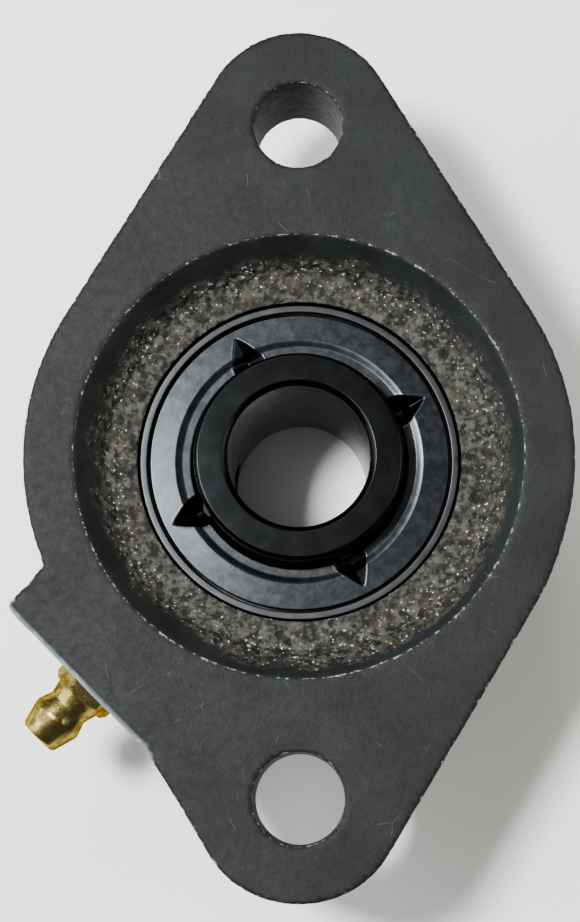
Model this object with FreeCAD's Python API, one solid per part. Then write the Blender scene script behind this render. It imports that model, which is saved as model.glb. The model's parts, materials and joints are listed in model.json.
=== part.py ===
"""Two-bolt flange mount bearing: a cast-iron housing with a self-aligning insert bearing.

Units are millimetres.  The origin is where the bearing axis meets the mounting face, midway
between the bolt holes.  +Z points out of the mounting face, +Y runs along the bolt line, and
the whole part lies at z <= 0, with the long end of the inner ring lowest.
"""
import FreeCAD
import Part
import math
import os

from FreeCAD import Vector

# ---- housing -----------------------------------------------------------------------------
BOLT_SPACING = 90.0
BOLT_HOLE_R = 6.0
BOLT_PAD_R = 9.9
BOLT_PAD_RISE = 0.6
FLANGE_T = 14.0
FLANGE_HUB_R = 36.4
FLANGE_END_R = 12.9
FLANGE_END_Y = 45.3
FLANGE_DRAFT = 0.05          # sideways inset per millimetre of depth
FLANGE_EDGE = 1.6            # size of the rounded front edge of the flange
FLANGE_EDGE_STEP = 0.48      # where the two slopes that draw that edge meet
HOUSING_DEPTH = 25.5
HUB_FOOT_R = 32.0
HUB_FRONT_R = 29.2
HUB_FOOT_FILLET = 3.0
HUB_FRONT_FILLET = 2.0
RECESS_MOUTH_R = 29.7
RECESS_FLOOR_R = 25.6
RECESS_FLOOR_Z = -5.7
RECESS_FLOOR_FILLET = 2.2
SEAT_CLEARANCE = 0.07
SEAT_HALF_WIDTH = 9.0        # the seat reaches a little past the outer ring on both sides
FRONT_OPENING_R = 22.7
FRONT_CHAMFER = 1.2
LOADING_SLOT_WIDTH = 17.4

# ---- grease boss and nipple: u runs outward along the boss, t across it --------------------
BOSS_ANGLE = 225.0
BOSS_FACE_U = 40.8
BOSS_INNER_U = 20.0
BOSS_LEFT_T = -12.2
BOSS_LEFT_DRAFT = 0.1
BOSS_CORNER_R = 0.9
BOSS_BULGE_R = 8.4
BOSS_BULGE_GROWTH = 1.4
NIPPLE_T = 1.2
NIPPLE_SHANK_R = 3.0
NIPPLE_SHANK_LENGTH = 5.8
NIPPLE_HEX_AF = 7.94
NIPPLE_HEX_HEIGHT = 2.5
NIPPLE_HEX_SIDE = 1.75       # height of the hexagon's full corners
NIPPLE_NECK_FLARE = 0.5      # how much the neck widens down to the hexagon
NIPPLE_NECK_R = 3.0
NIPPLE_NECK_HEIGHT = 4.4
NIPPLE_HEAD_R = 3.6
NIPPLE_HEAD_LOW = 6.1
NIPPLE_HEAD_HIGH = 6.9
NIPPLE_HEAD_BULGE = 0.05
NIPPLE_TIP_R = 2.8
NIPPLE_TIP_CHAMFER = 0.3
NIPPLE_HEIGHT = 10.0
NIPPLE_BORE_R = 1.35
NIPPLE_STEP_R = 0.9
CHECK_BALL_R = 1.2
CHECK_BALL_GAP = 0.05
CHECK_BALL_SET_BACK = 1.65   # ball centre behind the nipple's end face
SPRING_ROOM = 4.0            # length that the return spring fills behind the check ball
SPRING_END_GAP = 0.05
SPRING_WIRE_R = 0.16
SPRING_COIL_R = 1.05
SPRING_TURNS = 5
PASSAGE_R = 1.5

# ---- insert bearing: s is measured from its middle plane, positive towards the mounting face
BEARING_Z = -15.0
BORE_R = 9.525               # 3/4 inch shaft
INNER_OD_R = 14.0
INNER_SHORT = 12.7
INNER_LONG = 18.3
BORE_CHAMFER = 0.7
INNER_EDGE_CHAMFER = 0.45
SPHERE_R = 23.5
OUTER_HALF_WIDTH = 8.5
OUTER_LAND_R = 19.0
OUTER_EDGE_CHAMFER = 0.15
OUTER_FACE_R = 21.4          # outside of the flat face, where the nose chamfer starts
SEAL_GROOVE_R = 20.9
SEAL_GROOVE_S = (5.2, 6.5)
COUNTERBORE_R = 20.5
LUBE_GROOVE_S = 4.35
LUBE_GROOVE_HALF_WIDTH = 1.0
LUBE_GROOVE_DEPTH = 0.5
LUBE_HOLE_R = 0.75
BALL_R = 3.969               # 5/16 inch ball
BALL_COUNT = 8
PITCH_R = 16.75
RACE_R = 4.1
RACE_CLEARANCE = 0.05

# ---- cage ----------------------------------------------------------------------------------
CAGE_T = 0.6
CAGE_BALL_GAP = 0.15
CAGE_INNER_R = 15.7
CAGE_OUTER_R = 17.8
RIVET_R = 0.6
RIVET_HEAD_R = 1.05
RIVET_HEAD_T = 0.45
RIVET_CROWN_R = 0.63

# ---- seals and slingers ----------------------------------------------------------------------
SEAL_S = (5.3, 6.4)
SEAL_LIP_R = 14.05
SEAL_BEAD_R = 20.85
SEAL_WEB_R = (15.0, 20.2)
SEAL_WEB_S = 6.015           # outer face of the web, below the seal's raised rims
SEAL_LIP_S = (5.835, 6.085)
SEAL_RIM = 0.5               # flat width of the raised rim beside the lip
SEAL_BEAD_SLOPE = (0.4, 0.1) # how far inside the web's end its slope up to the bead starts and stops
CORE_R = (15.4, 20.3)
CORE_T = 0.35
CORE_RIM_HEIGHT = 0.8
SLINGER_T = 0.6
SLINGER_RIM_R = 20.2
SLINGER_RIM_T = 0.5
SLINGER_RIM_DROP = 0.6
SLINGER_RIM_ROUND = 0.2
SLINGER_TOP_S = 8.25
SLINGER_STEP_R = (16.7, 15.8)
SLINGER_STEP_DROP = 0.3
SLINGER_EDGE_R = 14.85
SLINGER_COLLAR_S = 6.7
SLINGER_DENT_SINK = 0.2      # how far the dents reach below the collar
DENT_COUNT = 4
DENT_FIRST_ANGLE = 27.0
DENT_TIP_R = 19.2
DENT_BASE_R = 14.1
DENT_HALF_WIDTH = 2.65
DENT_DEPTH = 1.25

# ---- set screws ------------------------------------------------------------------------------
SCREW_ANGLES = (180.0, 300.0)
SCREW_FROM_END = 5.0
SCREW_R = 3.14
SCREW_HOLE_R = 3.2
SCREW_TIP_R = 10.35
SCREW_HEAD_R = 16.2
SCREW_SOCKET_AF = 3.175
SCREW_SOCKET_DEPTH = 2.4
SCREW_CHAMFER = 0.4
TIP_BALL_R = 1.55
TIP_BALL_GAP = 0.05
TIP_BALL_TO_BORE = 0.07

Z_AXIS = Vector(0, 0, 1)
ORIGIN = Vector(0, 0, 0)
FRONT_Z = -HOUSING_DEPTH
INNER_REAR_Z = BEARING_Z + INNER_SHORT
INNER_FRONT_Z = BEARING_Z - INNER_LONG
NIPPLE_Z = BEARING_Z + LUBE_GROOVE_S
SEAT_R = SPHERE_R + SEAT_CLEARANCE
CHECK_BALL_HEIGHT = NIPPLE_HEIGHT - CHECK_BALL_SET_BACK
SPRING_FOOT = CHECK_BALL_HEIGHT - CHECK_BALL_R - SPRING_ROOM
PAST = 1.0                   # how far a cutting tool runs past the face that it opens
SAME_PLACE = 1e-6


# ---- helpers -----------------------------------------------------------------------------------
def at_angle(radius, degrees, z=0.0):
    """Point at a radius and an angle about the bearing axis."""
    a = math.radians(degrees)
    return Vector(radius * math.cos(a), radius * math.sin(a), z)


def boss_point(u, t, z=0.0):
    """Point u outward along the boss and t across it."""
    out = at_angle(1.0, BOSS_ANGLE)
    across = at_angle(1.0, BOSS_ANGLE + 90.0)
    return out * u + across * t + Vector(0, 0, z)


def cylinder(radius, z_low, z_high):
    """Cylinder on the bearing axis between two heights."""
    return Part.makeCylinder(radius, z_high - z_low, Vector(0, 0, z_low))


def rod(radius, start, end):
    """Cylinder from one point to another."""
    return Part.makeCylinder(radius, (end - start).Length, start, end - start)


def revolve(points):
    """Solid of revolution about the bearing axis from (radius, z) points.

    A triple (radius, z, "arc") is the middle point of an arc between its neighbours.
    """
    edges = []
    here = None
    middle = None
    for point in list(points) + [points[0]]:
        spot = Vector(point[0], 0, point[1])
        if len(point) == 3:
            middle = spot
            continue
        if here is not None and middle is not None:
            edges.append(Part.Arc(here, middle, spot).toShape())
        elif here is not None:
            edges.append(Part.LineSegment(here, spot).toShape())
        here = spot
        middle = None
    return Part.Face(Part.Wire(edges)).revolve(ORIGIN, Z_AXIS, 360)


def turned(points, start, direction):
    """Solid of revolution from (radius, distance) points, set along a direction."""
    solid = revolve(points)
    solid.Placement = FreeCAD.Placement(start, FreeCAD.Rotation(Z_AXIS, direction))
    return solid


def corner_arc(corner, toward_a, toward_b, radius):
    """Start, middle and end of the arc that rounds a corner between two (r, z) points."""
    c = Vector(corner[0], corner[1], 0)
    a = (Vector(toward_a[0], toward_a[1], 0) - c).normalize()
    b = (Vector(toward_b[0], toward_b[1], 0) - c).normalize()
    half = a.getAngle(b) / 2
    reach = radius / math.tan(half)
    centre = c + (a + b).normalize() * (radius / math.sin(half))
    middle = centre + (c - centre).normalize() * radius
    start = c + a * reach
    end = c + b * reach
    return [(start.x, start.y), (middle.x, middle.y, "arc"), (end.x, end.y)]


def fused(shapes):
    """One shape from several that touch."""
    first = shapes[0]
    return first.multiFuse(shapes[1:]).removeSplitter()


def bearing_side(shape, side):
    """A shape made for the mounting-face side, moved to that side (+1) or mirrored (-1)."""
    if side < 0:
        shape = shape.mirror(ORIGIN, Z_AXIS)
    shape.translate(Vector(0, 0, BEARING_Z))
    return shape


# ---- housing -------------------------------------------------------------------------------------
def flange_outline(inset, z):
    """Rhombic outline: hub arc each side, end arc round each bolt hole, tangent flanks."""
    hub = FLANGE_HUB_R - inset
    end = FLANGE_END_R - inset
    lean = math.asin((hub - end) / FLANGE_END_Y)
    normal = Vector(math.cos(lean), math.sin(lean), 0)

    def spot(x_sign, y_sign, radius, centre_y):
        return Vector(x_sign * radius * normal.x, y_sign * (centre_y + radius * normal.y), z)

    right_low = spot(1, -1, hub, 0)
    right_high = spot(1, 1, hub, 0)
    left_high = spot(-1, 1, hub, 0)
    left_low = spot(-1, -1, hub, 0)
    top_right = spot(1, 1, end, FLANGE_END_Y)
    top_left = spot(-1, 1, end, FLANGE_END_Y)
    low_left = spot(-1, -1, end, FLANGE_END_Y)
    low_right = spot(1, -1, end, FLANGE_END_Y)
    top = Vector(0, FLANGE_END_Y + end, z)
    bottom = Vector(0, -FLANGE_END_Y - end, z)
    edges = [
        Part.Arc(right_low, Vector(hub, 0, z), right_high),
        Part.LineSegment(right_high, top_right),
        Part.Arc(top_right, top, top_left),
        Part.LineSegment(top_left, left_high),
        Part.Arc(left_high, Vector(-hub, 0, z), left_low),
        Part.LineSegment(left_low, low_left),
        Part.Arc(low_left, bottom, low_right),
        Part.LineSegment(low_right, right_low),
    ]
    return Part.Wire([edge.toShape() for edge in edges])


def flange_plate():
    """Flange with drafted sides and a rounded front edge, drawn as three steps."""
    side = FLANGE_DRAFT * (FLANGE_T - FLANGE_EDGE)
    levels = [
        (0.0, 0.0),
        (side, -FLANGE_T + FLANGE_EDGE),
        (side + FLANGE_EDGE_STEP, -FLANGE_T + FLANGE_EDGE_STEP),
        (side + FLANGE_EDGE, -FLANGE_T),
    ]
    return Part.makeLoft([flange_outline(inset, z) for inset, z in levels], True, True)


def hub():
    """Round hub that stands out of the flange's front, with a rounded foot and nose."""
    root_r = HUB_FOOT_R + HUB_FOOT_FILLET
    root_z = -FLANGE_T - HUB_FOOT_FILLET
    sweep = HUB_FOOT_FILLET * math.sqrt(0.5)
    nose = corner_arc(
        (HUB_FRONT_R, FRONT_Z), (HUB_FOOT_R, root_z), (0, FRONT_Z), HUB_FRONT_FILLET
    )
    foot = [
        (0, root_z / 2),
        (root_r, root_z / 2),
        (root_r, -FLANGE_T),
        (root_r - sweep, root_z + sweep, "arc"),
        (HUB_FOOT_R, root_z),
    ]
    return revolve(foot + nose + [(0, FRONT_Z)])


def is_upright_at(edge, point):
    """True for the vertical edge through a point."""
    ends = [vertex.Point for vertex in edge.Vertexes]
    near = [abs(p.x - point.x) + abs(p.y - point.y) < SAME_PLACE for p in ends]
    return len(ends) == 2 and all(near)


def grease_boss():
    """Square-cornered boss flush with the mounting face, with a round bulge under it."""
    lean = math.asin((FLANGE_HUB_R - FLANGE_END_R) / FLANGE_END_Y)
    flank_angle = math.radians(BOSS_ANGLE - 180.0) - lean
    right_t = (BOSS_FACE_U * math.cos(flank_angle) - FLANGE_HUB_R) / math.sin(flank_angle)
    inner_left_t = BOSS_LEFT_T - BOSS_LEFT_DRAFT * (BOSS_FACE_U - BOSS_INNER_U)
    corners = [
        boss_point(BOSS_INNER_U, inner_left_t),
        boss_point(BOSS_FACE_U, BOSS_LEFT_T),
        boss_point(BOSS_FACE_U, right_t),
        boss_point(BOSS_INNER_U, right_t),
    ]
    block = Part.Face(Part.makePolygon(corners + [corners[0]])).extrude(Vector(0, 0, -FLANGE_T))
    outer_corner = [edge for edge in block.Edges if is_upright_at(edge, corners[1])]
    block = block.makeFillet(BOSS_CORNER_R, outer_corner)
    inner = boss_point(BOSS_INNER_U, NIPPLE_T, NIPPLE_Z)
    bulge = Part.makeCone(
        BOSS_BULGE_R + BOSS_BULGE_GROWTH,
        BOSS_BULGE_R,
        BOSS_FACE_U - BOSS_INNER_U,
        inner,
        boss_point(1, 0),
    )
    return block, bulge


def recess_and_opening():
    """Tool for the recess in the mounting face: sloping wall, round foot, gently falling floor."""
    seat_z = BEARING_Z + SEAT_HALF_WIDTH
    seat_edge_r = math.sqrt(SEAT_R ** 2 - SEAT_HALF_WIDTH ** 2)
    foot = corner_arc(
        (RECESS_FLOOR_R, RECESS_FLOOR_Z),
        (RECESS_MOUTH_R, 0),
        (seat_edge_r, seat_z),
        RECESS_FLOOR_FILLET,
    )
    mouth = [(0, PAST), (RECESS_MOUTH_R, PAST), (RECESS_MOUTH_R, 0)]
    recess = revolve(mouth + foot + [(seat_edge_r, seat_z), (0, seat_z)])
    chamfer_r = FRONT_OPENING_R + FRONT_CHAMFER
    opening = revolve([
        (0, BEARING_Z),
        (FRONT_OPENING_R - PAST, BEARING_Z),
        (FRONT_OPENING_R - PAST, BEARING_Z - SEAT_HALF_WIDTH + PAST),
        (FRONT_OPENING_R, BEARING_Z - SEAT_HALF_WIDTH + PAST),
        (FRONT_OPENING_R, FRONT_Z + FRONT_CHAMFER),
        (chamfer_r, FRONT_Z),
        (chamfer_r, FRONT_Z - PAST),
        (0, FRONT_Z - PAST),
    ])
    return [recess, opening]


def loading_slots():
    """Tool for the pair of slots through which the insert goes in edgewise from the front."""
    length = 2 * (SEAT_R + PAST)
    depth = HOUSING_DEPTH + BEARING_Z + PAST
    corner = Vector(-LOADING_SLOT_WIDTH / 2, -length / 2, FRONT_Z - PAST)
    slab = Part.makeBox(LOADING_SLOT_WIDTH, length, depth, corner)
    return slab.common(cylinder(SEAT_R, FRONT_Z - PAST, BEARING_Z))


def flange_housing():
    """Casting with its bolt holes, recess, spherical seat, loading slots and grease passage."""
    block, bulge = grease_boss()
    pad_z = -FLANGE_T - BOLT_PAD_RISE
    pads = []
    bolt_holes = []
    for y in (-BOLT_SPACING / 2, BOLT_SPACING / 2):
        pads.append(Part.makeCylinder(BOLT_PAD_R, FLANGE_T, Vector(0, y, pad_z)))
        bolt_holes.append(rod(BOLT_HOLE_R, Vector(0, y, pad_z - PAST), Vector(0, y, PAST)))
    body = fused([flange_plate(), hub(), block, bulge] + pads)
    seat = Part.makeSphere(SEAT_R, Vector(0, 0, BEARING_Z))
    shank_end = boss_point(BOSS_FACE_U - NIPPLE_SHANK_LENGTH, NIPPLE_T, NIPPLE_Z)
    beyond_face = boss_point(BOSS_FACE_U + PAST, NIPPLE_T, NIPPLE_Z)
    in_seat = boss_point(BOSS_INNER_U, NIPPLE_T, NIPPLE_Z)
    nipple_hole = rod(NIPPLE_SHANK_R, shank_end, beyond_face)
    passage = rod(PASSAGE_R, in_seat, shank_end)
    tools = recess_and_opening() + bolt_holes + [seat, loading_slots(), nipple_hole, passage]
    for tool in tools:
        body = body.cut(tool)
    return body


# ---- grease nipple -----------------------------------------------------------------------------
def along_nipple(height):
    """Point on the nipple's axis at a height above the boss face."""
    return boss_point(BOSS_FACE_U + height, NIPPLE_T, NIPPLE_Z)


def hexagon_prism(across_flats, start, direction, length):
    """Hexagonal prism along a direction."""
    corner_r = across_flats / math.sqrt(3)
    corners = [at_angle(corner_r, 60 * k) for k in range(7)]
    prism = Part.Face(Part.makePolygon(corners)).extrude(Vector(0, 0, length))
    prism.Placement = FreeCAD.Placement(start, FreeCAD.Rotation(Z_AXIS, direction))
    return prism


def grease_nipple_body():
    """Nipple with a hexagon, a waisted neck and a bored head that holds the check ball."""
    out = boss_point(1, 0)
    hex_corner_r = NIPPLE_HEX_AF / math.sqrt(3)
    hexagon = hexagon_prism(NIPPLE_HEX_AF, along_nipple(0), out, NIPPLE_HEX_HEIGHT)
    hex_rounding = turned(
        [
            (0, 0),
            (hex_corner_r, 0),
            (hex_corner_r, NIPPLE_HEX_SIDE),
            (NIPPLE_HEX_AF / 2, NIPPLE_HEX_HEIGHT),
            (0, NIPPLE_HEX_HEIGHT),
        ],
        along_nipple(0),
        out,
    )
    head_middle = (NIPPLE_HEAD_LOW + NIPPLE_HEAD_HIGH) / 2
    stem = turned(
        [
            (0, -NIPPLE_SHANK_LENGTH),
            (NIPPLE_SHANK_R, -NIPPLE_SHANK_LENGTH),
            (NIPPLE_SHANK_R, NIPPLE_HEX_HEIGHT / 2),
            (NIPPLE_NECK_R + NIPPLE_NECK_FLARE, NIPPLE_HEX_HEIGHT),
            (NIPPLE_NECK_R, NIPPLE_NECK_HEIGHT),
            (NIPPLE_HEAD_R, NIPPLE_HEAD_LOW),
            (NIPPLE_HEAD_R + NIPPLE_HEAD_BULGE, head_middle, "arc"),
            (NIPPLE_HEAD_R, NIPPLE_HEAD_HIGH),
            (NIPPLE_TIP_R, NIPPLE_HEIGHT - NIPPLE_TIP_CHAMFER),
            (NIPPLE_TIP_R - NIPPLE_TIP_CHAMFER, NIPPLE_HEIGHT),
            (0, NIPPLE_HEIGHT),
        ],
        along_nipple(0),
        out,
    )
    body = hexagon.common(hex_rounding).fuse(stem)
    shank_end = along_nipple(-NIPPLE_SHANK_LENGTH - PAST)
    spring_foot = along_nipple(SPRING_FOOT)
    ball = along_nipple(CHECK_BALL_HEIGHT)
    cavity = [
        rod(NIPPLE_STEP_R, shank_end, spring_foot),
        rod(NIPPLE_BORE_R, spring_foot, ball),
        Part.makeSphere(CHECK_BALL_R + CHECK_BALL_GAP, ball),
        rod(NIPPLE_STEP_R, ball, along_nipple(NIPPLE_HEIGHT + PAST)),
    ]
    for tool in cavity:
        body = body.cut(tool)
    return body


def nipple_check_ball():
    return Part.makeSphere(CHECK_BALL_R, along_nipple(CHECK_BALL_HEIGHT))


def nipple_spring():
    """Return spring that holds the check ball against the nipple's mouth."""
    height = SPRING_ROOM - 2 * (SPRING_WIRE_R + SPRING_END_GAP)
    coil = Part.makeHelix(height / SPRING_TURNS, height, SPRING_COIL_R)
    section = Part.makeCircle(SPRING_WIRE_R, Vector(SPRING_COIL_R, 0, 0), Vector(0, 1, 0))
    spring = Part.Wire(coil.Edges).makePipeShell([Part.Wire(section)], True, True)
    start = along_nipple(SPRING_FOOT + SPRING_WIRE_R + SPRING_END_GAP)
    spring.Placement = FreeCAD.Placement(start, FreeCAD.Rotation(Z_AXIS, boss_point(1, 0)))
    return spring


# ---- insert bearing ------------------------------------------------------------------------------
def race_torus(offset):
    """Torus that cuts a ball groove, its circle's centre shifted from the ball pitch circle."""
    return Part.makeTorus(PITCH_R + offset, RACE_R, Vector(0, 0, BEARING_Z))


def outer_ring():
    """Ring with a spherical outside, a ball groove, seal grooves and a grease groove."""
    width = cylinder(SPHERE_R, BEARING_Z - OUTER_HALF_WIDTH, BEARING_Z + OUTER_HALF_WIDTH)
    ring = Part.makeSphere(SPHERE_R, Vector(0, 0, BEARING_Z)).common(width)
    nose_low = OUTER_HALF_WIDTH - (SPHERE_R - OUTER_FACE_R)
    nose = revolve([
        (OUTER_FACE_R, OUTER_HALF_WIDTH),
        (SPHERE_R, nose_low),
        (SPHERE_R + PAST, nose_low),
        (SPHERE_R + PAST, OUTER_HALF_WIDTH + PAST),
        (OUTER_FACE_R, OUTER_HALF_WIDTH + PAST),
    ])
    ring = ring.cut(bearing_side(nose.copy(), 1)).cut(bearing_side(nose.copy(), -1))
    mouth_r = COUNTERBORE_R + OUTER_EDGE_CHAMFER
    half_void = revolve([
        (0, 0),
        (OUTER_LAND_R, 0),
        (OUTER_LAND_R, SEAL_GROOVE_S[0]),
        (SEAL_GROOVE_R, SEAL_GROOVE_S[0]),
        (SEAL_GROOVE_R, SEAL_GROOVE_S[1]),
        (COUNTERBORE_R, SEAL_GROOVE_S[1]),
        (COUNTERBORE_R, OUTER_HALF_WIDTH - OUTER_EDGE_CHAMFER),
        (mouth_r, OUTER_HALF_WIDTH),
        (mouth_r, OUTER_HALF_WIDTH + PAST),
        (0, OUTER_HALF_WIDTH + PAST),
    ])
    ring = ring.cut(bearing_side(half_void.copy(), 1))
    ring = ring.cut(bearing_side(half_void.copy(), -1))
    ring = ring.cut(race_torus(BALL_R - RACE_R + RACE_CLEARANCE))
    groove_low = NIPPLE_Z - LUBE_GROOVE_HALF_WIDTH
    groove_high = NIPPLE_Z + LUBE_GROOVE_HALF_WIDTH
    groove_r = math.sqrt(SPHERE_R ** 2 - LUBE_GROOVE_S ** 2) - LUBE_GROOVE_DEPTH
    groove_floor = cylinder(groove_r, groove_low, groove_high)
    ring = ring.cut(cylinder(SPHERE_R + PAST, groove_low, groove_high).cut(groove_floor))
    for angle in (BOSS_ANGLE, BOSS_ANGLE - 180.0):
        inside = at_angle(OUTER_LAND_R - PAST, angle, NIPPLE_Z)
        ring = ring.cut(rod(LUBE_HOLE_R, inside, at_angle(SPHERE_R, angle, NIPPLE_Z)))
    return ring


def screw_z():
    """Height of the set screws, near the long end of the inner ring."""
    return INNER_FRONT_Z + SCREW_FROM_END


def inner_ring():
    """Ring with a chamfered bore, longer at the front where the set screws go through it."""
    edge_r = INNER_OD_R - INNER_EDGE_CHAMFER
    mouth_r = BORE_R + BORE_CHAMFER
    ring = revolve([
        (BORE_R, INNER_FRONT_Z + BORE_CHAMFER),
        (mouth_r, INNER_FRONT_Z),
        (edge_r, INNER_FRONT_Z),
        (INNER_OD_R, INNER_FRONT_Z + INNER_EDGE_CHAMFER),
        (INNER_OD_R, INNER_REAR_Z - INNER_EDGE_CHAMFER),
        (edge_r, INNER_REAR_Z),
        (mouth_r, INNER_REAR_Z),
        (BORE_R, INNER_REAR_Z - BORE_CHAMFER),
    ])
    ring = ring.cut(race_torus(RACE_R - BALL_R - RACE_CLEARANCE))
    for angle in SCREW_ANGLES:
        inside = at_angle(BORE_R - PAST, angle, screw_z())
        ring = ring.cut(rod(SCREW_HOLE_R, inside, at_angle(INNER_OD_R + PAST, angle, screw_z())))
    return ring


def ball_angles():
    return [360.0 * k / BALL_COUNT for k in range(BALL_COUNT)]


def ball_at(angle, radius=BALL_R):
    return Part.makeSphere(radius, at_angle(PITCH_R, angle, BEARING_Z))


def cage_half(side):
    """Ribbon half: flat lands between cups that wrap the balls."""
    ribbon = cylinder(CAGE_OUTER_R, 0, CAGE_T)
    cup_r = BALL_R + CAGE_BALL_GAP + CAGE_T
    cups = [Part.makeSphere(cup_r, at_angle(PITCH_R, a)) for a in ball_angles()]
    band = cylinder(CAGE_OUTER_R, 0, 2 * BALL_R).cut(cylinder(CAGE_INNER_R, 0, 2 * BALL_R))
    half = ribbon.multiFuse(cups).common(band)
    for a in ball_angles():
        half = half.cut(Part.makeSphere(BALL_R + CAGE_BALL_GAP, at_angle(PITCH_R, a)))
        hole_at = at_angle(PITCH_R, a + 180.0 / BALL_COUNT)
        half = half.cut(Part.makeCylinder(RIVET_R, CAGE_T, hole_at))
    return bearing_side(half.removeSplitter(), side)


def cage_rivets():
    """One rivet through each pair of lands, as separate solids."""
    rivets = []
    for a in ball_angles():
        low = at_angle(PITCH_R, a + 180.0 / BALL_COUNT, BEARING_Z - CAGE_T)
        grip = 2 * CAGE_T
        profile = [
            (0, -RIVET_HEAD_T),
            (RIVET_CROWN_R, -RIVET_HEAD_T),
            (RIVET_HEAD_R, 0),
            (RIVET_R, 0),
            (RIVET_R, grip),
            (RIVET_HEAD_R, grip),
            (RIVET_CROWN_R, grip + RIVET_HEAD_T),
            (0, grip + RIVET_HEAD_T),
        ]
        rivets.append(turned(profile, low, Z_AXIS))
    return Part.makeCompound(rivets)


def seal_core(side):
    """Steel washer with a turned rim, bonded into the seal."""
    low = SEAL_S[0]
    inner_r, outer_r = CORE_R
    washer = revolve([
        (inner_r, low),
        (outer_r, low),
        (outer_r, low + CORE_RIM_HEIGHT),
        (outer_r - CORE_T, low + CORE_RIM_HEIGHT),
        (outer_r - CORE_T, low + CORE_T),
        (inner_r, low + CORE_T),
    ])
    return bearing_side(washer, side)


def seal(side):
    """Rubber seal: bead in the outer ring's groove, web over the core, lip at the inner ring."""
    low, high = SEAL_S
    web_inner, web_outer = SEAL_WEB_R
    slope_start, slope_end = SEAL_BEAD_SLOPE
    body = revolve([
        (SEAL_LIP_R, SEAL_LIP_S[0]),
        (SEAL_LIP_R, SEAL_LIP_S[1]),
        (web_inner, high),
        (web_inner + SEAL_RIM, high),
        (web_inner + 2 * SEAL_RIM, SEAL_WEB_S),
        (web_outer - slope_start, SEAL_WEB_S),
        (web_outer - slope_end, high),
        (SEAL_BEAD_R, high),
        (SEAL_BEAD_R, low),
        (web_inner, low),
    ])
    rubber = bearing_side(body, side)
    return rubber.cut(seal_core(side))


def slinger_face(shift):
    """One face of the slinger sheet from the step to the collar, as (radius, s) points."""
    top = SLINGER_TOP_S - shift
    low = top - SLINGER_STEP_DROP
    outer_step, inner_step = SLINGER_STEP_R
    collar = (INNER_OD_R, SLINGER_COLLAR_S + SLINGER_T - shift)
    return [(outer_step, top), (inner_step, low), (SLINGER_EDGE_R, low), collar]


def slinger(side):
    """Pressed steel flinger on the inner ring, with triangular dents that lock it there."""
    upper = slinger_face(0.0)
    lower = slinger_face(SLINGER_T)
    rim_inner_r = SLINGER_RIM_R - SLINGER_RIM_T
    rim_foot = SLINGER_TOP_S - SLINGER_T - SLINGER_RIM_DROP
    rim_outside = [
        (SLINGER_RIM_R, rim_foot),
        (SLINGER_RIM_R, SLINGER_TOP_S - SLINGER_RIM_ROUND),
        (SLINGER_RIM_R - SLINGER_RIM_ROUND, SLINGER_TOP_S),
    ]
    rim_inside = [(rim_inner_r, SLINGER_TOP_S - SLINGER_T), (rim_inner_r, rim_foot)]
    sheet = revolve(rim_outside + upper + lower[::-1] + rim_inside)
    room_r = DENT_TIP_R + SLINGER_T
    room_foot = SLINGER_COLLAR_S - SLINGER_DENT_SINK
    room = revolve(upper + [(INNER_OD_R, room_foot), (room_r, room_foot), (room_r, SLINGER_TOP_S)])
    for k in range(DENT_COUNT):
        angle = DENT_FIRST_ANGLE + k * 360.0 / DENT_COUNT
        hollow = dent(angle, 0.0)
        skin = dent(angle, SLINGER_T).common(room).cut(hollow)
        sheet = sheet.cut(hollow).fuse(skin)
    return bearing_side(sheet.removeSplitter(), side)


def dent(angle, grown):
    """Triangular dent: its tip outward on the sheet's face, deepest and widest at the inner ring."""
    top = SLINGER_TOP_S
    tip = Vector(DENT_TIP_R + grown, 0, top)
    left = Vector(DENT_BASE_R, DENT_HALF_WIDTH + grown, top)
    right = Vector(DENT_BASE_R, -DENT_HALF_WIDTH - grown, top)
    deep = Vector(DENT_BASE_R, 0, top - DENT_DEPTH - grown)
    mouth = Part.Face(Part.makePolygon([tip, left, right, tip]))
    walls = [
        Part.Face(Part.makePolygon([tip, left, deep, tip])),
        Part.Face(Part.makePolygon([tip, deep, right, tip])),
        Part.Face(Part.makePolygon([left, right, deep, left])),
    ]
    solid = Part.Solid(Part.Shell([mouth] + walls))
    if solid.Volume < 0:
        solid.reverse()
    solid = solid.fuse(mouth.extrude(Vector(0, 0, PAST))).removeSplitter()
    solid.rotate(ORIGIN, Z_AXIS, angle)
    return solid


# ---- set screws ----------------------------------------------------------------------------------
def set_screw(angle):
    """Hexagon-socket set screw with a cup for its tip ball."""
    start = at_angle(SCREW_TIP_R, angle, screw_z())
    out = at_angle(1.0, angle)
    length = SCREW_HEAD_R - SCREW_TIP_R
    body = turned(
        [
            (0, 0),
            (SCREW_R - SCREW_CHAMFER, 0),
            (SCREW_R, SCREW_CHAMFER),
            (SCREW_R, length - SCREW_CHAMFER),
            (SCREW_R - SCREW_CHAMFER, length),
            (0, length),
        ],
        start,
        out,
    )
    socket_at = at_angle(SCREW_HEAD_R - SCREW_SOCKET_DEPTH, angle, screw_z())
    socket = hexagon_prism(SCREW_SOCKET_AF, socket_at, out, SCREW_SOCKET_DEPTH + PAST)
    cup = Part.makeSphere(TIP_BALL_R + TIP_BALL_GAP, tip_ball_centre(angle))
    return body.cut(socket).cut(cup)


def tip_ball_centre(angle):
    return at_angle(BORE_R + TIP_BALL_TO_BORE + TIP_BALL_R, angle, screw_z())


def set_screw_ball(angle):
    return Part.makeSphere(TIP_BALL_R, tip_ball_centre(angle))


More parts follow.
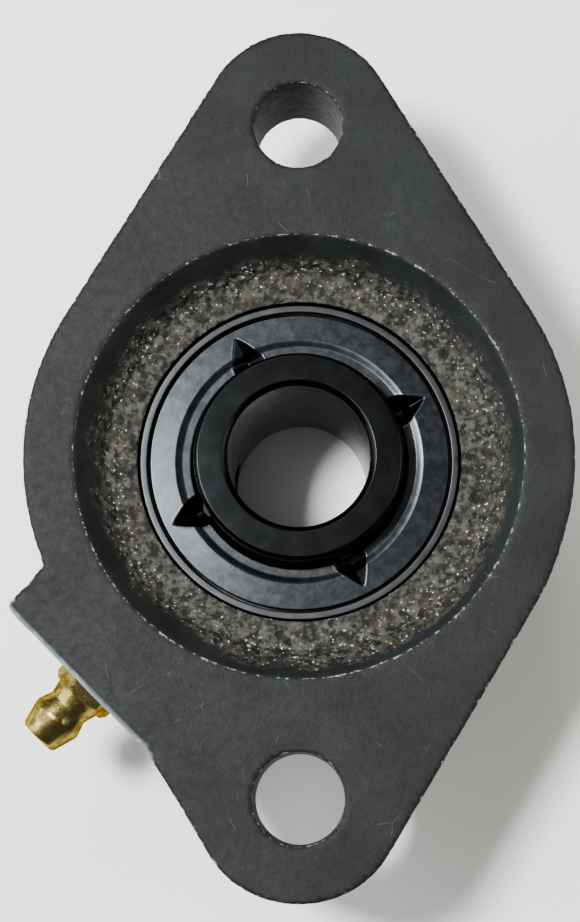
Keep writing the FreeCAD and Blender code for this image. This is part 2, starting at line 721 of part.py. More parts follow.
# ---- assembly ------------------------------------------------------------------------------------
def all_nodes():
    nodes = {
        "flange_housing": flange_housing(),
        "grease_nipple_body": grease_nipple_body(),
        "nipple_check_ball": nipple_check_ball(),
        "nipple_spring": nipple_spring(),
        "outer_ring": outer_ring(),
        "inner_ring": inner_ring(),
        "cage_half_rear": cage_half(1),
        "cage_half_front": cage_half(-1),
        "cage_rivets": cage_rivets(),
        "seal_core_rear": seal_core(1),
        "seal_core_front": seal_core(-1),
        "seal_rear": seal(1),
        "seal_front": seal(-1),
        "slinger_rear": slinger(1),
        "slinger_front": slinger(-1),
    }
    for number, angle in enumerate(ball_angles(), start=1):
        nodes["ball_%d" % number] = ball_at(angle)
    for number, angle in enumerate(SCREW_ANGLES, start=1):
        nodes["set_screw_%d" % number] = set_screw(angle)
        nodes["set_screw_ball_%d" % number] = set_screw_ball(angle)
    return nodes


os.makedirs("parts", exist_ok=True)
for name, shape in all_nodes().items():
    print("%-20s solids %d valid %s volume %.2f" % (name, len(shape.Solids), shape.isValid(), shape.Volume))
    shape.exportStep("parts/%s.step" % name)
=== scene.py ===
import json
import math

import bmesh
import bpy
import numpy as np
from mathutils import Matrix, Vector, noise


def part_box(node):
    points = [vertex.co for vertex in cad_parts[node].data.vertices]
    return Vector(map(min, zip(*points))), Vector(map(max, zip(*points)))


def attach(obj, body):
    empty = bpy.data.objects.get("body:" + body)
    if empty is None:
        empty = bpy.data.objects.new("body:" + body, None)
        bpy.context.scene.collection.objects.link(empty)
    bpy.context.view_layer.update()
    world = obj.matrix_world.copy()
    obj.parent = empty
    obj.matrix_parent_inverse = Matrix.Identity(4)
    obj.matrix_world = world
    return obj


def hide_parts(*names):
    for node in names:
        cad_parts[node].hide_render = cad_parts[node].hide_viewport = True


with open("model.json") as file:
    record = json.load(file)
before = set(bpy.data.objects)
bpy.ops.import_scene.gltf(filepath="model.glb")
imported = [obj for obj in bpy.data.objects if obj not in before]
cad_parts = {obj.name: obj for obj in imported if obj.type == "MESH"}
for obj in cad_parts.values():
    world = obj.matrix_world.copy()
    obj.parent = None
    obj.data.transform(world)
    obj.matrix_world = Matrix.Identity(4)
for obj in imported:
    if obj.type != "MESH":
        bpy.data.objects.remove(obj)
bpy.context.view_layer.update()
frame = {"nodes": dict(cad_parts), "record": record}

MM = 0.001
NODES = frame["nodes"]

# ---- places taken from the frame --------------------------------------------------------------
MOUNTS = {mount["name"]: mount["dims"] for mount in frame["record"]["mounts"]}
FLOOR_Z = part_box("inner_ring")[0].z
outer_low, outer_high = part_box("outer_ring")
BEARING_Z = (outer_low.z + outer_high.z) / 2
slinger_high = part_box("slinger_rear")[1]
SLINGER_RIM_MM = slinger_high.x / MM
SLINGER_TOP_MM = (slinger_high.z - BEARING_Z) / MM
BOLT_Y = MOUNTS["bolts"]["spacing_y_mm"] / 2 * MM
BOLT_HOLE_R = MOUNTS["bolts"]["hole_r_mm"] * MM
BORE_R_MM = MOUNTS["bore"]["r_mm"]


# ---- shader helpers ---------------------------------------------------------------------------
class Shader:
    """A node material with a Principled surface, built by short calls."""

    def __init__(self, name, **surface):
        self.material = bpy.data.materials.new(name)
        self.material.use_nodes = True
        self.tree = self.material.node_tree
        self.surface = self.tree.nodes["Principled BSDF"]
        coordinates = self.tree.nodes.new("ShaderNodeTexCoord")
        scale = self.tree.nodes.new("ShaderNodeVectorMath")
        scale.operation = "SCALE"
        scale.inputs["Scale"].default_value = 1 / MM
        self.tree.links.new(coordinates.outputs["Object"], scale.inputs[0])
        self.position = scale.outputs["Vector"]
        for socket, value in surface.items():
            self.set(socket.replace("_", " "), value)

    def set(self, socket, value):
        """Sets or links one socket of the surface."""
        target = self.surface.inputs[socket]
        if isinstance(value, bpy.types.NodeSocket):
            self.tree.links.new(value, target)
        else:
            target.default_value = (*value, 1.0) if isinstance(value, tuple) else value

    def add(self, kind, inputs, **settings):
        """Adds a node with its settings, and links or sets its inputs."""
        node = self.tree.nodes.new(kind)
        for name, value in settings.items():
            setattr(node, name, value)
        for key, value in inputs.items():
            if isinstance(value, bpy.types.NodeSocket):
                self.tree.links.new(value, node.inputs[key])
            else:
                node.inputs[key].default_value = value
        return node

    def noise(self, per_mm, detail=3.0, rough=0.55, vector=None, distortion=0.0):
        """Noise from 0 to 1, its grain given as features per millimetre."""
        inputs = {"Vector": vector or self.position, "Scale": per_mm, "Detail": detail}
        inputs.update({"Roughness": rough, "Distortion": distortion})
        return self.add("ShaderNodeTexNoise", inputs).outputs["Fac"]

    def cell_borders(self, per_mm):
        """Distance to the nearest border between scattered cells."""
        inputs = {"Vector": self.position, "Scale": per_mm}
        node = self.add("ShaderNodeTexVoronoi", inputs, feature="DISTANCE_TO_EDGE")
        return node.outputs["Distance"]

    def ramp(self, value, low, high, to_low=0.0, to_high=1.0):
        """Smooth step of a value between low and high."""
        inputs = {"Value": value, "From Min": low, "From Max": high}
        inputs.update({"To Min": to_low, "To Max": to_high})
        return self.add("ShaderNodeMapRange", inputs, interpolation_type="SMOOTHSTEP").outputs["Result"]

    def math(self, operation, first, second=0.0):
        """Arithmetic on two numbers."""
        return self.add("ShaderNodeMath", {0: first, 1: second}, operation=operation).outputs["Value"]

    def attribute(self, name):
        """A number stored on the mesh's points."""
        return self.add("ShaderNodeAttribute", {}, attribute_name=name).outputs["Fac"]

    def mix(self, factor, first, second):
        """Mix of two colours."""
        node = self.add("ShaderNodeMix", {"Factor": factor}, data_type="RGBA")
        first_colour, second_colour, result = 6, 7, 2
        for index, value in ((first_colour, first), (second_colour, second)):
            if isinstance(value, bpy.types.NodeSocket):
                self.tree.links.new(value, node.inputs[index])
            else:
                node.inputs[index].default_value = (*value, 1.0)
        return node.outputs[result]

    def mix_value(self, factor, first, second):
        """Mix of two numbers."""
        inputs = {"Factor": factor, "A": first, "B": second}
        return self.add("ShaderNodeMix", inputs, data_type="FLOAT").outputs[0]

    def bump(self, height, depth_mm, strength):
        """Adds relief to the surface normal, its depth in millimetres."""
        inputs = {"Height": height, "Distance": depth_mm * MM, "Strength": strength}
        self.set("Normal", self.add("ShaderNodeBump", inputs).outputs["Normal"])

    def radius(self):
        """Distance from the bearing axis in millimetres, and height."""
        x, y, z = self.add("ShaderNodeSeparateXYZ", {"Vector": self.position}).outputs
        squares = self.math("ADD", self.math("MULTIPLY", x, x), self.math("MULTIPLY", y, y))
        return self.math("SQRT", squares), z

    def rings(self, per_mm):
        """Fine turning marks: noise that depends only on radius and height."""
        radius, z = self.radius()
        inputs = {"X": radius, "Y": z, "Z": 0.0}
        vector = self.add("ShaderNodeCombineXYZ", inputs).outputs["Vector"]
        return self.noise(per_mm, detail=2.0, vector=vector)


# ---- materials -----------------------------------------------------------------------------------
def mottled_paint(s, mottle, grit):
    """Dark grey paint with clouds, dust and a few fine scratches."""
    clouds = s.noise(0.10, detail=4.0)
    paint = s.mix(s.ramp(clouds, 0.35, 0.65), (0.0052, 0.0061, 0.0063), (0.0088, 0.0100, 0.0102))
    paint = s.mix(s.ramp(mottle, 0.45, 0.72, 0.0, 0.4), paint, (0.0044, 0.0050, 0.0051))
    paint = s.mix(s.ramp(grit, 0.60, 0.80, 0.0, 0.45), paint, (0.026, 0.028, 0.028))
    scratch_cells = s.cell_borders(0.16)
    scratch_gate = s.ramp(s.noise(0.22, detail=2.0), 0.60, 0.68)
    scratches = s.math("MULTIPLY", s.ramp(scratch_cells, 0.012, 0.0, 0.0, 0.5), scratch_gate)
    return s.mix(scratches, paint, (0.06, 0.063, 0.063))


def sand_cast_iron(s, sand):
    """Raw grey-brown iron with a touch of rust, and painted highlights: bright specks for glinting
    grains, more of them further out.
    """
    rust = s.noise(0.35, detail=3.0)
    cast = s.mix(s.ramp(sand, 0.40, 0.62), (0.0050, 0.0050, 0.0043), (0.052, 0.051, 0.044))
    cast = s.mix(s.ramp(rust, 0.45, 0.7, 0.0, 0.5), cast, (0.030, 0.024, 0.016))
    # painted highlights: bright specks stand for the glints of sand grains, denser towards the outer
    # part of the floor
    outer_half = s.ramp(s.radius()[0], 22.0, 25.0, -0.035, 0.03)
    painted_glints = s.math("ADD", s.noise(1.9, detail=2.0, rough=0.8), outer_half)
    return s.mix(s.ramp(painted_glints, 0.68, 0.74), cast, (0.62, 0.62, 0.57))


def housing_material():
    """Painted grey iron: mottled dark paint, raw sand-cast recess floor with painted highlights on its
    grains, small bright chips.
    """
    s = Shader("housing_grey_iron", Metallic=0.0, Specular_IOR_Level=0.15)
    recess = s.attribute("recess")
    edge = s.attribute("edge")
    bare = s.attribute("bare")
    mottle = s.noise(0.8, detail=6.0, rough=0.7)
    grit = s.noise(3.5, detail=3.0, rough=0.7)
    sand = s.noise(0.95, detail=6.0, rough=0.66)
    colour = s.mix(recess, mottled_paint(s, mottle, grit), sand_cast_iron(s, sand))
    chip_noise = s.math("MULTIPLY", s.noise(0.9, detail=5.0, rough=0.75), 1.15)
    chips = s.ramp(s.math("ADD", edge, chip_noise), 1.55, 1.72)
    colour = s.mix(chips, colour, (0.24, 0.25, 0.24))
    colour = s.mix(bare, colour, (0.20, 0.235, 0.26))
    s.set("Base Color", colour)
    rough_paint = s.ramp(mottle, 0.3, 0.7, 0.50, 0.66)
    s.set("Roughness", s.mix_value(recess, rough_paint, s.ramp(sand, 0.3, 0.75, 0.70, 0.34)))
    paint_relief = s.math("ADD", s.math("MULTIPLY", mottle, 0.25), s.math("MULTIPLY", grit, 0.15))
    s.bump(s.mix_value(recess, paint_relief, sand), 0.45, 0.8)
    return s.material


def brass_material():
    """Yellow brass with patches of brown tarnish, and a few bright patches that are painted highlights.
    """
    s = Shader("nipple_brass", Metallic=1.0, Specular_Tint=(0.36, 0.295, 0.17))
    tarnish = s.noise(0.55, detail=5.0, rough=0.65)
    brass = s.mix(s.ramp(tarnish, 0.40, 0.62), (0.335, 0.252, 0.072), (0.105, 0.077, 0.024))
    # painted highlights: a few bright yellow patches
    painted_highlight = s.ramp(s.noise(2.2, detail=3.0), 0.62, 0.75)
    s.set("Base Color", s.mix(painted_highlight, brass, (0.66, 0.49, 0.14)))
    s.set("Roughness", s.ramp(tarnish, 0.35, 0.7, 0.20, 0.42))
    s.bump(s.noise(3.0, detail=3.0), 0.05, 0.5)
    return s.material


def black_ring_material(name, colour, roughness, bore_r_mm=None):
    """Black-oxide turned steel with fine turning marks; the oxide is thinner in a ground bore."""
    s = Shader(name, Metallic=1.0)
    turning = s.rings(9.0)
    smudge = s.noise(0.35, detail=4.0)
    light = tuple(1.3 * c for c in colour)
    black = s.mix(s.ramp(smudge, 0.4, 0.7, 0.0, 0.6), colour, light)
    if bore_r_mm:
        in_bore = s.ramp(s.radius()[0], bore_r_mm + 0.03, bore_r_mm + 0.12, 1.0, 0.0)
        black = s.mix(in_bore, black, (0.075, 0.077, 0.078))
    nick = s.ramp(s.noise(0.9, detail=5.0, rough=0.8, distortion=1.5), 0.72, 0.76, 0.0, 0.7)
    s.set("Base Color", s.mix(nick, black, (0.16, 0.165, 0.17)))
    s.set("Roughness", s.ramp(smudge, 0.3, 0.7, roughness - 0.01, roughness + 0.02))
    s.bump(turning, 0.012, 0.5)
    return s.material


def slinger_material():
    """Black satin sheet steel, finely scuffed, with painted shade that darkens the inside of the dents.
    """
    s = Shader("slinger_black_sheet", Metallic=1.0)
    scuff = s.noise(0.8, detail=5.0, rough=0.7)
    rub = s.noise(0.18, detail=4.0, distortion=0.6)
    sheet = s.mix(s.ramp(scuff, 0.35, 0.7), (0.027, 0.029, 0.032), (0.036, 0.0385, 0.042))
    sheet = s.mix(s.ramp(rub, 0.55, 0.75, 0.0, 0.5), sheet, (0.050, 0.053, 0.057))
    # painted shade: near-black colour inside the dents
    s.set("Base Color", s.mix(s.attribute("dent_shade"), sheet, (0.0055, 0.0060, 0.0064)))
    s.set("Roughness", s.ramp(scuff, 0.3, 0.7, 0.29, 0.36))
    s.bump(s.noise(2.5, detail=5.0, rough=0.65), 0.018, 0.35)
    return s.material


def bright_steel_material(name, roughness):
    """Ground or drawn steel."""
    s = Shader(name, Metallic=1.0)
    haze = s.noise(1.2, detail=4.0)
    s.set("Base Color", s.mix(haze, (0.50, 0.50, 0.50), (0.66, 0.66, 0.65)))
    s.set("Roughness", s.ramp(haze, 0.3, 0.7, roughness - 0.05, roughness + 0.08))
    s.bump(s.noise(6.0, detail=2.0), 0.008, 0.3)
    return s.material


def rubber_material():
    """Nitrile rubber, matt with a faint bloom."""
    s = Shader("seal_rubber", Metallic=0.0)
    bloom = s.noise(1.0, detail=4.0)
    s.set("Base Color", s.mix(bloom, (0.008, 0.008, 0.009), (0.022, 0.022, 0.023)))
    s.set("Roughness", s.ramp(bloom, 0.3, 0.7, 0.55, 0.75))
    s.bump(s.noise(7.0, detail=3.0), 0.02, 0.4)
    return s.material


def floor_material():
    """Pale laminate."""
    s = Shader("pale_floor", Metallic=0.0)
    cloud = s.noise(0.02, detail=3.0)
    s.set("Base Color", s.mix(cloud, (0.78, 0.775, 0.745), (0.84, 0.835, 0.805)))
    s.set("Roughness", 0.6)
    s.bump(s.noise(0.8, detail=4.0), 0.03, 0.25)
    return s.material


def paint_cad(material, *nodes):
    """Gives carried-over CAD nodes a material."""
    for name in nodes:
        mesh = NODES[name].data
        mesh.materials.clear()
        mesh.materials.append(material)


def soften_edges(width_mm, *nodes):
    """Small rounds on a CAD node's sharp edges, as modifiers."""
    for name in nodes:
        obj = NODES[name]
        weld = obj.modifiers.new("weld", "WELD")
        weld.merge_threshold = 0.001 * MM
        bevel = obj.modifiers.new("edge_rounds", "BEVEL")
        bevel.width = width_mm * MM
        bevel.segments = 2
        bevel.limit_method = "ANGLE"
        bevel.angle_limit = math.radians(28)
        normals = obj.modifiers.new("face_weighted_normals", "WEIGHTED_NORMAL")
        normals.weight = 100
        normals.keep_sharp = False
        for polygon in obj.data.polygons:
            polygon.use_smooth = True
        if "custom_normal" in obj.data.attributes:
            obj.data.attributes.remove(obj.data.attributes["custom_normal"])


# ---- mesh helpers --------------------------------------------------------------------------------
def add_object(name, mesh, material, body):
    """Links a finished mesh as a piece of the object."""
    obj = bpy.data.objects.new(name, mesh)
    bpy.context.scene.collection.objects.link(obj)
    mesh.materials.clear()
    mesh.materials.append(material)
    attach(obj, body)
    return obj


def vectors_of(mesh, what):
    """The points ("co") or normals ("normal") of a mesh, one row for each vertex."""
    values = np.empty(len(mesh.vertices) * 3)
    mesh.vertices.foreach_get(what, values)
    return values.reshape(-1, 3)


def fractal(points, per_mm, octaves, seed):
    """Smooth noise from about -1 to 1 at each point."""
    shift = Vector((seed, 2 * seed, 3 * seed))
    scale = per_mm / MM
    increment, lacunarity = 0.7, 2.1
    places = (Vector(point) * scale + shift for point in points)
    return np.array([noise.fractal(place, increment, lacunarity, octaves) for place in places])


def store(mesh, name, values):
    """Keeps one number for each point, for the materials to read."""
    attribute = mesh.attributes.new(name, "FLOAT", "POINT")
    attribute.data.foreach_set("value", np.asarray(values, np.float32))


# ---- housing -------------------------------------------------------------------------------------
REMESH_DEPTH = 8
REMESH_FILL = 0.84           # with the depth, sets the size of the remeshed quads
SEAT_EDGE_R = 21.8 * MM      # the recess floor ends here, at the bearing seat
SEAT_TOP_Z = -5.7 * MM
SEAT_LOW_Z = -24.0 * MM
FLOOR_LOW_Z = -7.0 * MM      # the recess floor and its fillet lie between these heights
FLOOR_HIGH_Z = -1.0 * MM
SAND_R = 27.0 * MM           # the sand-cast floor runs out on the recess wall about here
SAND_EXTRA = 1.1 * MM        # and this much further out at the lower right
SAND_TOP_Z = -1.5 * MM
EDGE_SHARP = math.radians(32)
CORNER_EASE = 0.40
NIPPLE_T = 1.2 * MM          # the nipple's axis, sideways along the boss and in depth
NIPPLE_Z = -10.65 * MM
BOSS_FACE = 40.8 * MM        # distance of the boss's end face from the bearing axis
FULLER = 0.45 * MM           # how far the lower half stands out past the drawn shape
FULLER_AT_BOSS = 0.35 * MM


def remeshed_copy(node, name):
    """Even quads over a CAD node's shape, with its corners kept."""
    mesh = NODES[node].data.copy()
    b = bmesh.new()
    b.from_mesh(mesh)
    bmesh.ops.remove_doubles(b, verts=b.verts, dist=0.0005 * MM)
    b.to_mesh(mesh)
    b.free()
    obj = bpy.data.objects.new(name, mesh)
    bpy.context.scene.collection.objects.link(obj)
    remesh = obj.modifiers.new("remesh", "REMESH")
    remesh.mode = "SHARP"
    remesh.octree_depth = REMESH_DEPTH
    remesh.scale = REMESH_FILL
    remesh.sharpness = 1.0
    remesh.use_remove_disconnected = False
    bpy.context.view_layer.update()
    evaluated = obj.evaluated_get(bpy.context.evaluated_depsgraph_get())
    result = bpy.data.meshes.new_from_object(evaluated)
    bpy.data.objects.remove(obj)
    return result


def refine_recess(mesh):
    """Splits the faces of the recess floor, so that the sand-cast grain is real relief."""
    b = bmesh.new()
    b.from_mesh(mesh)
    edges = set()
    for face in b.faces:
        centre = face.calc_center_median()
        radius = math.hypot(centre.x, centre.y)
        if SEAT_EDGE_R < radius < SAND_R + 0.5 * MM and FLOOR_LOW_Z < centre.z < FLOOR_HIGH_Z:
            edges.update(face.edges)
    bmesh.ops.subdivide_edges(b, edges=list(edges), cuts=1, use_grid_fill=True)
    b.to_mesh(mesh)
    b.free()


def corner_mask(mesh):
    """1 at vertices on a sharp edge, 0 elsewhere."""
    b = bmesh.new()
    b.from_mesh(mesh)
    b.normal_update()
    mask = np.zeros(len(b.verts))
    for edge in b.edges:
        if len(edge.link_faces) == 2 and edge.calc_face_angle(0.0) > EDGE_SHARP:
            for vert in edge.verts:
                mask[vert.index] = 1.0
    b.free()
    return mask


def spread(mesh, values, rounds):
    """Averages values over neighbouring vertices."""
    edges = np.empty(len(mesh.edges) * 2, int)
    mesh.edges.foreach_get("vertices", edges)
    edges = edges.reshape(-1, 2)
    count = np.bincount(edges.ravel(), minlength=len(values)).astype(float)
    for _ in range(rounds):
        total = np.bincount(edges[:, 0], values[edges[:, 1]], len(values))
        total += np.bincount(edges[:, 1], values[edges[:, 0]], len(values))
        values = (values + total / count) / 2
    return values


def smooth_step(values, low, high):
    """Rises smoothly from 0 at low to 1 at high."""
    t = np.clip((values - low) / (high - low), 0, 1)
    return t * t * (3 - 2 * t)


def along_boss(vectors):
    """How far each vector reaches in the grease boss's direction, down and to the left."""
    return (vectors[:, 0] + vectors[:, 1]) * -math.sqrt(0.5)


def ease_corners(mesh, near_edge):
    """Rounds the corners a little and returns the points."""
    points = vectors_of(mesh, "co")
    weight = np.clip(near_edge * 1.5, 0, 1) * CORNER_EASE
    for axis in range(3):
        eased = spread(mesh, points[:, axis].copy(), 2)
        points[:, axis] += (eased - points[:, axis]) * weight
    mesh.vertices.foreach_set("co", points.ravel())
    mesh.update()
    return points


def sand_mask(points, radius):
    """1 on the sand-cast recess floor, with a ragged outer end."""
    z = points[:, 2]
    ragged = 0.9 * MM * fractal(points, 0.25, 3, 2.0)
    lower_right = np.clip((points[:, 0] - points[:, 1]) / (radius * math.sqrt(2.0)), 0, 1)
    reach = SAND_R + SAND_EXTRA * lower_right
    mask = smooth_step(reach - radius - ragged, -1.0 * MM, 1.0 * MM)
    return mask * (radius > SEAT_EDGE_R - 0.1 * MM) * (z > FLOOR_LOW_Z) * (z < SAND_TOP_Z)


def casting_lift(points, radius, out, bolt_distance, in_recess, near_edge):
    """Rise of each point: sand grain, cast skin, flatter machined faces and knocked edges."""
    z = points[:, 2]
    in_bolt_hole = bolt_distance < BOLT_HOLE_R + 0.3 * MM
    in_seat = (radius < SEAT_EDGE_R + 0.9 * MM) * (z < SEAT_TOP_Z) * (z > SEAT_LOW_Z)
    machined = np.clip((z > -0.2 * MM) * 1.0 + in_bolt_hole + in_seat, 0, 1)
    seat_fade = smooth_step(radius, SEAT_EDGE_R, SEAT_EDGE_R + 0.8 * MM)
    grain = 0.24 * fractal(points, 0.7, 3, 3.0) + 0.16 * fractal(points, 1.9, 3, 13.0)
    lift = grain * MM * in_recess * seat_fade
    lift += 0.05 * MM * (1 - machined) * fractal(points, 0.3, 3, 7.0)
    lift += 0.012 * MM * machined * fractal(points, 0.25, 2, 11.0)
    bites = np.clip(fractal(points, 0.55, 3, 5.0) + 0.1, 0, 1)
    knocked = 0.12 + 0.55 * smooth_step(out, 31 * MM, 37 * MM) * (points[:, 0] < -26 * MM)
    lift -= knocked * MM * near_edge * bites * ~in_bolt_hole * (bolt_distance > 8 * MM)
    return lift * (1.0 - in_seat)


def fill_out(points, radius, bolt_distance):
    """Moves the flanks of the lower half outwards, but not the bolt hole or the nipple's hole."""
    across = (points[:, 0] - points[:, 1]) * math.sqrt(0.5)
    nipple_distance = np.hypot(across - NIPPLE_T, points[:, 2] - NIPPLE_Z)
    fuller = smooth_step(-points[:, 1], 10 * MM, 21 * MM)
    fuller *= smooth_step(radius, 30.5 * MM, 33 * MM)
    fuller *= smooth_step(bolt_distance, 6.5 * MM, 9 * MM)
    fuller *= smooth_step(nipple_distance, 3.3 * MM, 4.4 * MM)
    boss_side = smooth_step(-points[:, 0], 14 * MM, 22 * MM)
    boss_side *= smooth_step(-points[:, 1], 17 * MM, 22 * MM)
    side = np.clip(points[:, 0] / (8 * MM), -1, 1)
    points[:, 0] += (FULLER + FULLER_AT_BOSS * boss_side) * fuller * side


def bare_strip(points, normals, out):
    """1 on the upper part of the boss's end face, where it has no paint."""
    on_face = (np.abs(out - BOSS_FACE) < 0.4 * MM) * (points[:, 0] < -12 * MM)
    facing = smooth_step(along_boss(normals), 0.45, 0.75)
    return on_face * facing * smooth_step(points[:, 2], -9.0 * MM, -4.0 * MM)


def make_housing():
    """The casting: the CAD shape remeshed, worn and given its sand-cast relief."""
    mesh = remeshed_copy("flange_housing", "flange_housing_casting")
    refine_recess(mesh)
    near_edge = np.clip(spread(mesh, corner_mask(mesh), 3) * 2.2, 0, 1)
    points = ease_corners(mesh, near_edge)
    normals = vectors_of(mesh, "normal")
    radius = np.hypot(points[:, 0], points[:, 1])
    out = along_boss(points)
    bolt_distance = np.hypot(points[:, 0], np.abs(points[:, 1]) - BOLT_Y)
    in_recess = sand_mask(points, radius)
    lift = casting_lift(points, radius, out, bolt_distance, in_recess, near_edge)
    points += normals * lift[:, None]
    points[:, 2] = np.minimum(points[:, 2], 0.0)
    fill_out(points, radius, bolt_distance)
    mesh.vertices.foreach_set("co", points.ravel())
    store(mesh, "recess", in_recess)
    store(mesh, "edge", near_edge)
    store(mesh, "bare", bare_strip(points, normals, out))
    mesh.polygons.foreach_set("use_smooth", np.ones(len(mesh.polygons), bool))
    mesh.update()
    piece = add_object("flange_housing_casting", mesh, housing_material(), "housing")
    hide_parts("flange_housing")


# ---- slinger -----------------------------------------------------------------------------------
# All in millimetres. From outside in: a rounded rim, a shallow cone, a step down, a curled edge.
SHEET_T = 0.6
TOP_GAP = 0.03               # the cone's top stays this much below the highest point
RIM_DROP = 0.12
RIM_WIDTH = 0.20
CONE = 0.055                 # how much the cone falls per millimetre of radius
STEP_OUTER_R = 16.75
STEP_INNER_R = 15.8
STEP_DROP = 0.3
CURL_R = 14.85
CURL_DROP = 1.0
SHEET_INNER_R = 14.06
DENT_ANGLES = [math.radians(27 + 90 * k) for k in range(4)]
DENT_TIP_R = 19.1
DENT_FOOT_R = 15.5
DENT_HALF_WIDTH = 2.25
DENT_DEPTH = 1.5
LIP_HEIGHT = 0.035           # the metal pushed up beside a dent
LIP_WIDTH = 0.16


def slinger_shape(radius, angle):
    """Height of the sheet above the bearing's middle plane in millimetres, and a mask for the painted
    shade inside the dents.
    """
    top = SLINGER_TOP_MM - TOP_GAP - CONE * (radius - STEP_OUTER_R)
    low = SLINGER_TOP_MM - TOP_GAP - STEP_DROP
    ramp = np.clip((radius - STEP_INNER_R) / (STEP_OUTER_R - STEP_INNER_R), 0, 1)
    ramp = 0.65 * ramp + 0.35 * ramp * ramp * (3 - 2 * ramp)
    height = low + (top - low) * ramp
    height = height - CURL_DROP * smooth_step(-radius, -CURL_R, -SHEET_INNER_R) ** 1.3
    height = height - RIM_DROP * smooth_step(radius, SLINGER_RIM_MM - RIM_WIDTH, SLINGER_RIM_MM) ** 2
    dent_shade = np.zeros_like(height)
    for place in DENT_ANGLES:
        turn = (angle - place + math.pi) % (2 * math.pi) - math.pi
        across = np.abs(turn) * radius
        out = np.clip((radius - DENT_FOOT_R) / (DENT_TIP_R - DENT_FOOT_R), 0, 1)
        half_width = DENT_HALF_WIDTH * (1 - out) ** 0.8
        inside = np.clip(1 - across / np.maximum(half_width, 1e-3), 0, 1)
        depth = DENT_DEPTH * (1 - out) ** 0.9 * (1 - np.sqrt((1 - inside) ** 2 + 0.006) + 0.003)
        lip = LIP_HEIGHT * np.exp(-((across - half_width) / LIP_WIDTH) ** 2) * (out < 0.97)
        dented = (inside > 0) & (out < 1)
        height = np.where(dented, height - np.maximum(depth, 0), height + lip)
        # mask for the painted shade inside each dent, fading out towards its edges
        dent_shade = np.maximum(dent_shade, np.where(dented, smooth_step(inside * half_width, 0.04, 0.22), 0))
    return np.minimum(height, SLINGER_TOP_MM), dent_shade


def make_slinger(name, node, side):
    """Pressed sheet with a step and triangular dents, as a fine polar grid of both its faces."""
    turns, upper_steps, lower_steps = 720, 88, 40
    angles = np.linspace(0, 2 * math.pi, turns, endpoint=False)
    upper_radii = np.linspace(SHEET_INNER_R, SLINGER_RIM_MM, upper_steps)
    lower_radii = np.linspace(SLINGER_RIM_MM, SHEET_INNER_R, lower_steps)
    radii = np.concatenate([upper_radii, lower_radii])
    sweep, reach = np.meshgrid(angles, radii, indexing="ij")
    rings, dent_shade = slinger_shape(reach, sweep)
    rings[:, upper_steps:] -= SHEET_T
    x = reach * np.cos(sweep) * MM
    y = reach * np.sin(sweep) * MM
    z = BEARING_Z + side * rings * MM
    points = np.stack([x, y, z], axis=-1).reshape(-1, 3)
    loop = upper_steps + lower_steps
    faces = []
    for i in range(turns):
        a, b = i * loop, (i + 1) % turns * loop
        for j in range(loop):
            k = (j + 1) % loop
            quad = (a + j, a + k, b + k, b + j)
            faces.append(quad if side > 0 else quad[::-1])
    mesh = bpy.data.meshes.new(name)
    mesh.from_pydata(points.tolist(), [], faces)
    mesh.polygons.foreach_set("use_smooth", np.ones(len(mesh.polygons), bool))
    mesh.update()
    # mask for the painted shade inside the dents, read by the slinger material
    store(mesh, "dent_shade", dent_shade.ravel())
    piece = add_object(name, mesh, MATERIALS["slinger"], "inner_race")
    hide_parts(node)


# ---- scene ---------------------------------------------------------------------------------------
def make_floor():
    """A wide floor under the part, which is not a piece of it."""
    half = 1.6
    mesh = bpy.data.meshes.new("floor")
    corners = [(x * half, y * half, FLOOR_Z) for x, y in ((-1, -1), (1, -1), (1, 1), (-1, 1))]
    mesh.from_pydata(corners, [], [(0, 1, 2, 3)])
    mesh.materials.append(floor_material())
    floor = bpy.data.objects.new("floor", mesh)
    bpy.context.scene.collection.objects.link(floor)


def area_light(name, place, aim, size, power, colour):
    """A rectangular light that faces a point."""
    data = bpy.data.lights.new(name, "AREA")
    data.shape = "RECTANGLE"
    data.size, data.size_y = size
    data.energy = power
    data.color = colour
    light = bpy.data.objects.new(name, data)
    light.location = place
    light.rotation_mode = "QUATERNION"
    light.rotation_quaternion = (Vector(aim) - Vector(place)).to_track_quat("-Z", "Y")
    bpy.context.scene.collection.objects.link(light)


def make_lights():
    """A soft key from the upper left, fill from both sides, and a faint room around."""
    target = (0.0, 0.0, -0.01)
    area_light("key", (-0.226, 0.050, 0.50), target, (0.10, 0.10), 8.2, (1.0, 0.995, 0.98))
    area_light("window_left", (-0.54, 0.02, 0.26), target, (0.35, 0.40), 3.0, (0.95, 0.98, 1.0))
    area_light("room_right", (0.54, 0.02, 0.30), target, (0.40, 0.40), 2.7, (1.0, 0.97, 0.92))
    area_light("room_top", (-0.10, 0.40, 0.46), target, (0.30, 0.25), 1.6, (0.97, 0.99, 1.0))
    area_light("ceiling", (0.02, -0.03, 0.62), target, (0.26, 0.20), 0.10, (1.0, 1.0, 1.0))
    world = bpy.data.worlds.new("room")
    world.use_nodes = True
    background = world.node_tree.nodes["Background"]
    background.inputs["Color"].default_value = (0.86, 0.90, 0.94, 1.0)
    background.inputs["Strength"].default_value = 0.12
    bpy.context.scene.world = world


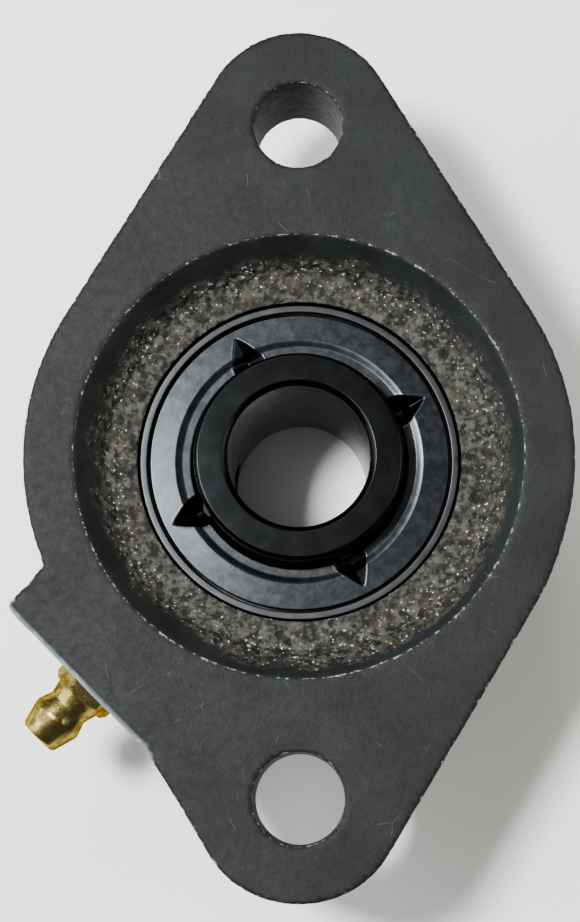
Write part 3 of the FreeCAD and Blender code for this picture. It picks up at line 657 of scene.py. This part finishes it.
def make_camera():
    """Camera nearly straight above the mounting face, about 10 degrees towards the lower bolt hole."""
    data = bpy.data.cameras.new("camera")
    data.sensor_width = 36.0
    data.lens = 77.2
    data.clip_start = 0.01
    camera = bpy.data.objects.new("camera", data)
    place = Vector((4.1 * MM, -45.5 * MM, 256.0 * MM))
    aim = Vector((-1.1 * MM, -1.2 * MM, 0.0))
    back = (place - aim).normalized()
    right = Vector((0, 1, 0)).cross(back).normalized()
    camera.location = place
    camera.rotation_mode = "QUATERNION"
    camera.rotation_quaternion = Matrix((right, back.cross(right), back)).transposed().to_quaternion()
    bpy.context.scene.collection.objects.link(camera)
    bpy.context.scene.camera = camera


MATERIALS = {
    "brass": brass_material(),
    "ring": black_ring_material("ring_black_oxide", (0.0086, 0.0094, 0.0100), 0.27, BORE_R_MM),
    "screw": black_ring_material("screw_black_oxide", (0.026, 0.028, 0.031), 0.34),
    "outer": black_ring_material("outer_ring_satin", (0.034, 0.036, 0.038), 0.36),
    "slinger": slinger_material(),
    "ball": bright_steel_material("ball_steel", 0.12),
    "sheet_steel": bright_steel_material("cage_and_core_steel", 0.35),
    "rubber": rubber_material(),
}
make_camera()
make_floor()
make_lights()
make_housing()
make_slinger("slinger_rear_sheet", "slinger_rear", 1)
make_slinger("slinger_front_sheet", "slinger_front", -1)
paint_cad(MATERIALS["brass"], "grease_nipple_body")
paint_cad(MATERIALS["ring"], "inner_ring")
paint_cad(MATERIALS["outer"], "outer_ring")
paint_cad(MATERIALS["screw"], "set_screw_1", "set_screw_2")
paint_cad(MATERIALS["ball"], "nipple_check_ball", "set_screw_ball_1", "set_screw_ball_2")
paint_cad(MATERIALS["ball"], *["ball_%d" % n for n in range(1, 9)])
paint_cad(MATERIALS["sheet_steel"], "nipple_spring", "cage_half_rear", "cage_half_front", "cage_rivets")
paint_cad(MATERIALS["sheet_steel"], "seal_core_rear", "seal_core_front")
paint_cad(MATERIALS["rubber"], "seal_rear", "seal_front")
soften_edges(0.12, "inner_ring", "outer_ring")
soften_edges(0.15, "grease_nipple_body")
soften_edges(0.1, "set_screw_1", "set_screw_2")
